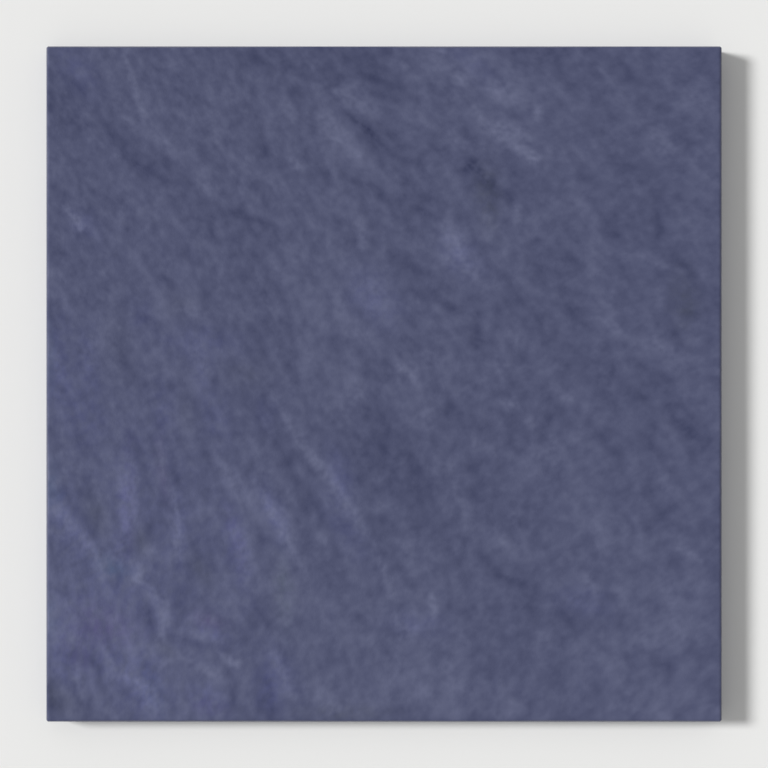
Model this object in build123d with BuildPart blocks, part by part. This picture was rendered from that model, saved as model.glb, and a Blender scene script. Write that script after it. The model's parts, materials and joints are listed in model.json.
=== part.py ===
from build123d import *
import math
import os

# A square ceramic paving tile with a riven slate face, in millimetres.
# It lies face up. The origin is the middle of its bed, where the back ribs touch the ground, and +Z points
# out of the face.

# Outline
tile_side = 450.0
tile_thickness = 20.0  # from the bed to the highest swell of the face

# Arrises, ground at 45 degrees
face_arris = 1.0  # round the face
bed_arris = 0.8  # round the back
corner_arris = 1.0  # down the four upright corners

# Key pattern pressed in the back: square pockets with sloping walls, and ribs left between them
key_pitch = 30.0
key_rib = 5.0  # a rib's width where it touches the bed
key_depth = 1.2
key_draft = 40.0  # slope of a pocket's wall, in degrees from upright
key_border = 17.0  # the least plain width left round the pattern

# Swells of the riven face. The cleavage runs down from the upper left to the lower right, so the main swells
# travel across it. Each row is wavelength, heading in degrees from +X, share of the depth, phase in degrees.
swell_depth = 0.6
swells = [
    (210.0, 35.0, 0.40, 25.0),
    (130.0, 48.0, 0.25, 160.0),
    (88.0, 22.0, 0.15, 300.0),
    (260.0, -62.0, 0.20, 75.0),
]

# Cleavage ledges, where one layer of the slate ends and the next lies lower. Each row is the middle of the ledge
# in x and y, heading of its line in degrees from +X, its length and bow, the drop to the layer on its left, and
# how far that layer reaches before it is level with the face again.
ledge_riser = 14.0  # width of the slope down a ledge
ledges = [
    (-39.0, -66.0, 124.0, 160.0, -7.0, 0.34, 40.0),
    (-180.0, -125.0, 132.0, 125.0, -10.0, 0.30, 30.0),
    (-118.0, -195.0, 168.0, 60.0, -7.0, 0.26, 24.0),
    (-4.0, 168.0, -36.0, 62.0, 3.0, 0.34, 22.0),
    (70.0, 142.0, -38.0, 58.0, 3.0, 0.36, 20.0),
    (-150.0, 160.0, -42.0, 150.0, -6.0, 0.24, 40.0),
    (-92.0, 108.0, -22.0, 70.0, 3.0, 0.22, 24.0),
    (55.0, 42.0, -40.0, 60.0, 3.0, 0.20, 24.0),
    (86.0, -126.0, -30.0, 62.0, 4.0, 0.26, 22.0),
    (182.0, -14.0, -46.0, 110.0, -4.0, 0.22, 36.0),
    (128.0, 96.0, -52.0, 90.0, 4.0, 0.16, 30.0),
]

# How the riven face is made: one surface through points of that pitch, which cuts a thicker blank
face_point_pitch = 7.0
face_overlap = 20.0  # how far the surface runs past the tile's sides
face_allowance = 2.0  # what the blank stands above the highest swell
face_tolerance = 0.05


def eased(share):
    """From 0 to 1, level at both ends."""
    share = min(max(share, 0.0), 1.0)
    return share * share * (3 - 2 * share)


def swell_drop(x, y):
    """How far the swells lower the face."""
    level = 0.0
    for wavelength, heading, share, phase in swells:
        travelled = x * math.cos(math.radians(heading)) + y * math.sin(math.radians(heading))
        level += share * math.cos(math.tau * travelled / wavelength + math.radians(phase))
    return swell_depth * (1 - level) / 2


def ledge_drop(x, y, ledge):
    """How far one ledge lowers the face."""
    middle_x, middle_y, heading, length, bow, drop, reach = ledge
    cosine, sine = math.cos(math.radians(heading)), math.sin(math.radians(heading))
    share = 2 * ((x - middle_x) * cosine + (y - middle_y) * sine) / length
    ends = max(1 - share * share, 0.0)
    left = (y - middle_y) * cosine - (x - middle_x) * sine - bow * ends
    return drop * eased(left / ledge_riser + 0.5) * (1 - eased(left / reach)) * ends ** 2


def face_height(x, y):
    """Height of the riven face above the bed."""
    return tile_thickness - swell_drop(x, y) - sum(ledge_drop(x, y, ledge) for ledge in ledges)


def riven_surface():
    """The riven face as one smooth surface, a little larger than the tile."""
    reach = tile_side / 2 + face_overlap
    steps = math.ceil(2 * reach / face_point_pitch)
    stations = [-reach + 2 * reach * i / steps for i in range(steps + 1)]
    points = [[Vector(x, y, face_height(x, y)) for x in stations] for y in stations]
    return Face.make_surface_from_array_of_points(points, tol=face_tolerance, min_deg=3, max_deg=5)


# One pocket of the key pattern, as the punch that presses it
with BuildPart() as key_punch:
    with BuildSketch():
        Rectangle(key_pitch - key_rib, key_pitch - key_rib)
    extrude(amount=key_depth, taper=key_draft)

# Tile
with BuildPart() as tile:
    with BuildSketch():
        Rectangle(tile_side, tile_side)
    extrude(amount=tile_thickness + face_allowance)
    chamfer(tile.edges().filter_by(Axis.Z), corner_arris)
    split(bisect_by=riven_surface(), keep=Keep.TOP)
    chamfer(tile.faces().sort_by(Axis.Z)[-1].edges(), face_arris)
    chamfer(tile.faces().sort_by(Axis.Z)[0].edges(), bed_arris)
    keys_per_side = int((tile_side - 2 * key_border + key_rib) // key_pitch)
    with GridLocations(key_pitch, key_pitch, keys_per_side, keys_per_side):
        add(key_punch.part, mode=Mode.SUBTRACT)

tile.part.label = "tile"
os.makedirs("parts", exist_ok=True)
export_step(tile.part, "parts/tile.step")
print("keys per side", keys_per_side, "highest point", round(tile.part.bounding_box().max.Z, 4))
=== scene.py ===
import json
import math

import bmesh
import bpy
import numpy as np
from bpy.props import FloatProperty, FloatVectorProperty, IntProperty, PointerProperty
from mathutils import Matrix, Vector

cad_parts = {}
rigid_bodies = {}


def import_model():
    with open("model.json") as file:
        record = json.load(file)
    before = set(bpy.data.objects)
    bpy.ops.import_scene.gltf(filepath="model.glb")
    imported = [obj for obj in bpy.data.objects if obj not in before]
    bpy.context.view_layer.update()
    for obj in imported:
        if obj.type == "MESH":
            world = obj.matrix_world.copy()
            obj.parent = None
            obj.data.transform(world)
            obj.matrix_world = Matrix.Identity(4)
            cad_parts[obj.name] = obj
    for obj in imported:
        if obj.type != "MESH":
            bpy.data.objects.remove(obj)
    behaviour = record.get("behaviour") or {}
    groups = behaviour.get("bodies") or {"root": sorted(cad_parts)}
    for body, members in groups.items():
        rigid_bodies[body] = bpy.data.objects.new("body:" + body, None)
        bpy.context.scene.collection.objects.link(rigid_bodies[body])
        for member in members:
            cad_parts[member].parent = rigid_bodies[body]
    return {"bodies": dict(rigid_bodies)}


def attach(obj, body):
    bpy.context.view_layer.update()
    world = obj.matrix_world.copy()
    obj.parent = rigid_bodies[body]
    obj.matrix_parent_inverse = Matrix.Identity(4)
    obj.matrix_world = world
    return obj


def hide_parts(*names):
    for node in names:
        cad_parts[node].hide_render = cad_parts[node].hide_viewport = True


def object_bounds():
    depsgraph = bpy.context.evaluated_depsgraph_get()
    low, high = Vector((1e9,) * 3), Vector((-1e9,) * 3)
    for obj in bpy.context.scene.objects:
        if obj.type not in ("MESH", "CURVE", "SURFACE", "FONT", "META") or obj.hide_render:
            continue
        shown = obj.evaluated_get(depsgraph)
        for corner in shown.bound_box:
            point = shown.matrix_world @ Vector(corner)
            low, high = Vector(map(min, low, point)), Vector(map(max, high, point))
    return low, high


bl_info = {
    "name": "Slate Look Paving Tile",
    "version": (1, 0, 0),
    "blender": (4, 5, 0),
    "location": "3D View > Sidebar > Paving Tile",
    "description": "Builds one ceramic paving tile with a riven slate face, and the stage it is shown on",
    "category": "Object",
}

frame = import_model()
cad_low, cad_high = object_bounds()
TILE_NODE = "tile"
BODY = next(iter(frame["bodies"]))
MM = 0.001

# Swells of the riven face, as in the model: wavelength in mm, heading in degrees from +X, share of the depth,
# phase in degrees
SWELLS = (
    (210.0, 35.0, 0.40, 25.0),
    (130.0, 48.0, 0.25, 160.0),
    (88.0, 22.0, 0.15, 300.0),
    (260.0, -62.0, 0.20, 75.0),
)

# Cleavage ledges, as in the model, where one layer of the slate ends and the next lies lower. Each row is the
# line's middle x and y, heading in degrees, length and bow, the drop to the layer on its left, and how far
# that layer reaches before it is level again, in mm.
LEDGES = (
    (-39.0, -66.0, 124.0, 160.0, -7.0, 0.34, 40.0),
    (-180.0, -125.0, 132.0, 125.0, -10.0, 0.30, 30.0),
    (-118.0, -195.0, 168.0, 60.0, -7.0, 0.26, 24.0),
    (-4.0, 168.0, -36.0, 62.0, 3.0, 0.34, 22.0),
    (70.0, 142.0, -38.0, 58.0, 3.0, 0.36, 20.0),
    (-150.0, 160.0, -42.0, 150.0, -6.0, 0.24, 40.0),
    (-92.0, 108.0, -22.0, 70.0, 3.0, 0.22, 24.0),
    (55.0, 42.0, -40.0, 60.0, 3.0, 0.20, 24.0),
    (86.0, -126.0, -30.0, 62.0, 4.0, 0.26, 22.0),
    (182.0, -14.0, -46.0, 110.0, -4.0, 0.22, 36.0),
    (128.0, 96.0, -52.0, 90.0, 4.0, 0.16, 30.0),
)

# The cleavage runs steeply at the lower left and flattens to the upper right
FLOW_LEAN = -0.27  # how far it leans from the falling diagonal at the middle of the tile
FLOW_TURN = 0.0011  # how much that changes with each mm up the other diagonal

# Noise of the relief. Each row is the size of its bumps in mm, how far they are drawn out along the cleavage,
# its share, and its seed.
RIPPLE_LAYERS = ((30.0, 2.6, 0.42, 21), (16.0, 2.4, 0.34, 22), (8.5, 1.7, 0.24, 23))
GRAIN_LAYERS = ((5.2, 1.15, 0.6, 31), (3.2, 1.15, 0.4, 32))

# The wander that keeps ripples, ledges and marks from running straight: size and reach in mm, and the seeds
# of its x and y
WANDER_LAYERS = ((34.0, 5.0, (11, 13)), (11.0, 1.8, (12, 14)))
# How much of it the marks, ledges, tints and broad areas take
WANDER_SHARES = {"crest": 0.12, "cleft": 0.2, "ledge": 0.5, "tint": 0.5, "area": 1.5}

MARK_RELIEF_CAP = 1.4  # a mark that is stronger than 140 percent is no deeper or higher
AREA_FALL = 2.2  # how fast a broad area fades towards its outline

# Mottling of the print: size across the cleavage in mm, how far it is drawn out along it, noise detail, and
# weight in the tone. The last layer also breaks up the marks.
PRINT_LAYERS = (
    (1.9, 1.2, 0.5, 0.08),
    (34.0, 2.6, 1.0, 0.18),
    (14.0, 2.0, 0.6, 0.38),
    (7.0, 1.2, 0.6, 0.42),
    (3.6, 1.0, 0.4, 0.14),
)
# What the mesh's masks add to the tone, and for the marks also how much the mottling breaks them up
# Ripple and grain lighten the tone where the relief stands high and darken it in its hollows: painted
# highlight and painted shade.
MASK_WEIGHTS = (("ripple", 0.09), ("grain", 0.05), ("area", 0.24))
# Crest marks lighten the tone and cleft marks darken it: print, with painted highlight on the crests and
# painted shade in the clefts.
MARK_WEIGHTS = (("crest", 0.26, 1.2), ("cleft", -0.19, 2.2))
GRAIN_WEIGHT = 0.03
MIDDLE_TONE = 0.5  # of every colour ramp, which runs from tone 0 to tone 1
SPECULAR_LEVEL = 0.25  # of a fired surface with little gloss
GRINDING_LINES = (14.0, 14.0, 2600.0)  # bumps to the metre along x, y and z

# The tile's finishes, by their place in its list of materials
GLAZE, CLAY, BACK = range(3)

# Section of a pocket of the back, from its rim, level 0, to its floor, level 1. Each row is the level, the
# corner radius in mm, and the steps outward and up from there, in roundings.
POCKET_RINGS = ((0, 2.4, 1.0, 0.0), (0, 2.2, -1.0, 0.6), (1, 1.7, 1.0, -0.6), (1, 1.5, -1.6, 0.0))

# Light marks of the print, with painted highlight on the crests that they raise. Each is a trace through its
# points: x, y, half width, strength in percent.
PRINT_AND_HIGHLIGHT_MARKS = (
    # The long ridge down the middle
    ((-76, -4, 1.8, 30), (-64, -25, 2.4, 60), (-56, -39, 3.6, 90), (-48, -49, 4.4, 95), (-39, -57, 4.4, 90),
     (-32, -69, 4, 110), (-26, -80, 5, 85), (-19, -91, 5.2, 50), (-9, -104, 3, 40), (1, -128, 2.2, 35),
     (4, -140, 2.6, 60)),
    # Streaks left of it
    ((-106, -55, 2.4, 65), (-101, -67, 2.2, 80), (-96, -79, 2.2, 45), (-93, -92, 3, 35),
     (-88, -130, 3.5, 30)),
    ((-80, -73, 4, 50), (-74, -86, 5, 130), (-67, -98, 4.4, 125), (-61, -110, 3.4, 90), (-57, -117, 2.4, 60),
     (-51, -125, 2, 35)),
    ((-84, -60, 5, 30), (-88, -76, 5, 35)),
    ((-99, -95, 3.4, 15), (-97, -105, 3.6, 35), (-94, -120, 3.6, 60), (-90, -146, 5, 35)),
    ((-174, -48, 5, 40), (-172, -72, 5.5, 65), (-172, -94, 5.5, 65), (-174, -108, 5, 55)),
    ((-166, -54, 3, 55), (-164, -70, 3.4, 60), (-167, -90, 3, 40)),
    ((-149, -40, 2.2, 60), (-146, -59, 2.2, 50), (-145, -75, 2, 35)),
    ((-142, -70, 2.8, 55), (-139, -82, 3.2, 90), (-137, -95, 3.4, 115), (-137, -107, 3.4, 110),
     (-136, -117, 3.2, 80)),
    ((-197, -58, 2.6, 45), (-190, -72, 2.4, 35)),
    ((-208, -46, 3.4, 55), (-206, -57, 3.4, 50)),
    # Flakes of the lower left corner
    ((-223, -79, 6, 60), (-213, -87, 4.6, 90), (-205, -97, 4.4, 75), (-197, -108, 5, 75), (-189, -118, 5, 80),
     (-186, -127, 4.6, 50)),
    ((-221, -94, 5.4, 50), (-213, -106, 5.4, 50), (-205, -118, 5, 30)),
    ((-225, -62, 5, 60), (-218, -66, 4, 40)),
    ((-180, -116, 4.4, 40), (-170, -118, 4.4, 50), (-163, -122, 4.6, 60), (-160, -135, 4.8, 60),
     (-152, -141, 4.8, 75), (-147, -149, 5.2, 95), (-145, -158, 4.8, 100), (-149, -166, 3.4, 55)),
    ((-163, -122, 3.4, 50), (-168, -136, 3.4, 55), (-170, -148, 3.4, 45), (-165, -161, 3, 35),
     (-156, -168, 3, 35)),
    ((-156, -110, 3.6, 70), (-152, -116, 3, 45)),
    ((-148, -186, 3, 45), (-137, -183, 3.4, 55), (-127, -185, 3.6, 50), (-117, -191, 4, 65),
     (-109, -199, 3.8, 60)),
    ((-112, -178, 2, 35), (-107, -183, 2.6, 80), (-102, -185, 3.6, 180), (-98, -186, 3, 110)),
    ((-133, -163, 2.6, 50), (-121, -167, 3.2, 65), (-108, -170, 2.8, 60)),
    ((-126, -156, 3.6, 50), (-114, -157, 3.8, 60)),
    ((-178, -193, 4.5, 80), (-168, -196, 5, 90), (-158, -205, 6, 95), (-152, -216, 6, 80)),
    ((-222, -145, 4.5, 60), (-223, -160, 5.4, 110), (-217, -172, 3.4, 50)),
    ((-210, -146, 4, 65), (-206, -156, 4, 70), (-208, -176, 3.6, 70)),
    ((-204, -186, 3, 70), (-206, -196, 3, 80), (-200, -208, 3, 50)),
    ((-186, -176, 3, 70), (-181, -188, 3.2, 80)),
    ((-194, -150, 3.4, 50), (-182, -156, 3.4, 55)),
    ((-188, -212, 3, 60), (-180, -222, 3, 80)),
    ((-164, -180, 5, 45), (-152, -176, 5, 40)),
    ((-112, -210, 3.6, 55), (-110, -220, 3.6, 55)),
    # Upper left
    ((-173, 226, 2.6, 75), (-168, 205, 2.6, 90), (-163, 187, 2.6, 95), (-159, 174, 2.6, 55)),
    ((-184, 214, 2, 25), (-178, 190, 2.4, 30), (-170, 170, 2.4, 25)),
    ((-212, 118, 2.6, 80), (-206, 110, 3, 190), (-202, 105, 3, 210)),
    ((-175, 117, 2.6, 45), (-174, 109, 2.6, 45)),
    ((-153, 166, 3, 40), (-145, 161, 3.4, 65), (-139, 156, 3, 50)),
    ((-120, 180, 5, 25), (-115, 170, 5, 35), (-110, 156, 4, 40)),
    ((-103, 194, 4, 60), (-99, 187, 4, 60)),
    ((-94, 180, 3.2, 45), (-91, 173, 3.2, 45)),
    ((-54, 218, 4, 40), (-48, 212, 4, 40)),
    ((-42, 198, 4, 55), (-34, 194, 4, 65)),
    ((-123, 134, 4, 50), (-112, 127, 3.6, 40), (-102, 118, 3, 30)),
    ((-61, 149, 2.6, 50), (-57, 145, 2.8, 120)),
    ((-75, 51, 3.4, 50), (-71, 48, 3.4, 45)),
    ((-66, 188, 4, 40), (-60, 178, 4, 45)),
    ((-133, 52, 4, 60), (-127, 45, 4, 65)),
    ((-124, 22, 4, 50), (-120, 8, 4, 40)),
    ((-195, 30, 4, 40), (-196, 10, 4, 40)),
    ((-222, 20, 4, 40), (-214, 2, 4, 50)),
    ((-155, -5, 3.6, 50), (-153, -16, 3.6, 50)),
    ((-110, -22, 3.4, 65), (-108, -30, 3, 65)),
    # Upper middle
    ((-41, 179, 5, 60), (-36, 174, 6, 80), (-33, 165, 6.4, 60), (-26, 160, 5.6, 50), (-17, 152, 4.6, 50)),
    ((-27, 194, 5, 50), (-20, 188, 6.4, 70), (-12, 183, 6, 60), (-4, 181, 5, 40)),
    ((-16, 107, 3.8, 40), (-15, 99, 4.2, 50), (-14, 92, 3.6, 35)),
    ((-27, 99, 3.4, 45), (-24, 91, 3.4, 45)),
    ((-10, 70, 3.6, 60), (-3, 62, 3.6, 55), (-6, 50, 4, 55)),
    ((-30, 55, 5, 25), (-24, 34, 4.4, 45), (-8, 32, 5, 40)),
    ((-52, 19, 3.4, 55), (-48, 14, 3, 35)),
    ((-20, 1, 4, 55), (-19, -9, 4, 55)),
    ((8, 14, 2.4, 80), (12, 11, 3, 170), (17, 7, 2.4, 65), (24, 1, 2.8, 55)),
    ((27, 18, 3.6, 50), (31, 11, 3.6, 45)),
    ((9, 220, 4, 40), (13, 213, 4, 40)),
    ((40, 106, 3.4, 50), (44, 99, 5, 85), (50, 89, 7.2, 95), (56, 79, 7.4, 80), (62, 71, 5.4, 60)),
    ((40, 84, 3.4, 35), (46, 82, 3.4, 35)),
    ((69, 110, 3, 70), (73, 105, 2.6, 45)),
    ((88, 118, 3, 75), (88, 109, 3, 70)),
    # Upper right
    ((78, 168, 5, 75), (86, 162, 5.4, 100), (93, 156, 4.8, 115), (100, 150, 4, 160)),
    ((82, 171, 4.4, 65), (90, 168, 4.4, 85), (96, 165, 3.6, 55)),
    ((60, 183, 3.6, 55), (66, 176, 4, 70), (73, 171, 4.4, 90), (78, 174, 3.6, 50)),
    ((102, 184, 2.8, 80), (102, 177, 3, 105)),
    ((74, 198, 5.5, 65), (80, 194, 6, 85), (89, 190, 5, 65)),
    ((37, 221, 4, 60), (41, 212, 4, 65), (53, 202, 4.4, 80), (56, 210, 4, 50)),
    ((102, 219, 4, 35), (108, 214, 4, 35)),
    ((42, 168, 4, 50), (50, 160, 3.6, 50), (66, 158, 3, 45)),
    ((145, 209, 2.6, 40), (151, 201, 2.6, 45)),
    ((140, 88, 1.8, 35), (170, 85, 1.8, 40), (182, 80, 1.8, 40), (198, 75, 1.8, 30)),
    ((180, 166, 6, 55), (188, 157, 5.5, 60)),
    ((206, 192, 6, 55), (214, 186, 5, 40)),
    ((142, 47, 3.8, 40), (155, 36, 4.2, 50)),
    ((182, 28, 5.4, 60), (190, 21, 5.8, 60), (200, 15, 5, 50), (210, 8, 4, 35)),
    ((195, -8, 5, 35), (200, -20, 5, 30)),
    ((82, 36, 4, 40), (88, 31, 4, 40)),
    ((73, 14, 4, 40), (79, 7, 4, 40)),
    ((145, 9, 4, 50), (149, -3, 4, 55)),
    # Lower right
    ((78, -11, 3.6, 60), (85, -14, 4.2, 120)),
    ((54, -4, 3.6, 45), (59, -11, 3.6, 40)),
    ((95, -24, 2.6, 50), (99, -27, 2.8, 90)),
    ((117, -7, 3, 50), (124, -11, 3.2, 60)),
    ((26, -20, 4.6, 75), (30, -28, 4, 45)),
    ((60, -39, 3.4, 20), (68, -42, 3.4, 30), (74, -47, 3.4, 30)),
    ((26, -54, 3.2, 35), (36, -59, 3.6, 45), (43, -53, 3, 35)),
    ((100, -48, 4.6, 65), (108, -46, 5.4, 85), (115, -38, 4.6, 45)),
    ((47, -66, 4.2, 75), (51, -76, 3.8, 50), (57, -87, 3, 40)),
    ((86, -87, 3.8, 55), (90, -97, 3.8, 55)),
    ((79, -102, 4.4, 65), (86, -109, 4.6, 50)),
    ((140, -92, 4, 40), (146, -110, 4, 45)),
    ((-4, -84, 3, 35), (6, -80, 3, 40), (14, -86, 3, 30)),
    ((16, -104, 5, 45), (18, -114, 5, 40)),
    ((32, -140, 2.6, 75), (33, -149, 2.8, 125), (34, -154, 2.4, 70)),
    ((4, -152, 4, 45), (8, -160, 4, 60), (20, -163, 4, 50), (9, -176, 4, 35)),
    ((134, -128, 3.6, 70), (140, -136, 3.6, 75)),
    ((154, -136, 3, 40), (163, -146, 2.8, 45)),
    ((185, -58, 4, 65), (190, -66, 3, 30)),
    ((196, -109, 2.2, 60), (203, -112, 2.4, 90), (211, -117, 2.4, 80)),
    ((190, -132, 5, 45), (193, -158, 5.6, 55), (200, -172, 4, 45)),
    ((172, -164, 6, 40), (180, -170, 6, 35)),
    ((104, -168, 4, 50), (109, -175, 4, 50)),
    ((90, -175, 4, 30), (94, -184, 4, 30)),
    ((165, -205, 3.8, 45), (167, -215, 3.8, 45)),
    ((40, -188, 5, 40), (43, -197, 5, 40)),
    ((27, -208, 5, 40), (36, -214, 5, 40)),
    ((78, -196, 4, 35), (85, -212, 4, 45)),
    ((-74, -180, 4, 45), (-68, -192, 4.4, 55), (-61, -205, 4, 50)),
    ((-41, -210, 5, 60), (-33, -214, 5, 60)),
    ((-42, -101, 3.4, 40), (-38, -104, 3, 30)),
    ((-68, -122, 5, 35), (-67, -140, 5.5, 45), (-66, -158, 5, 35)),
)
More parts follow.
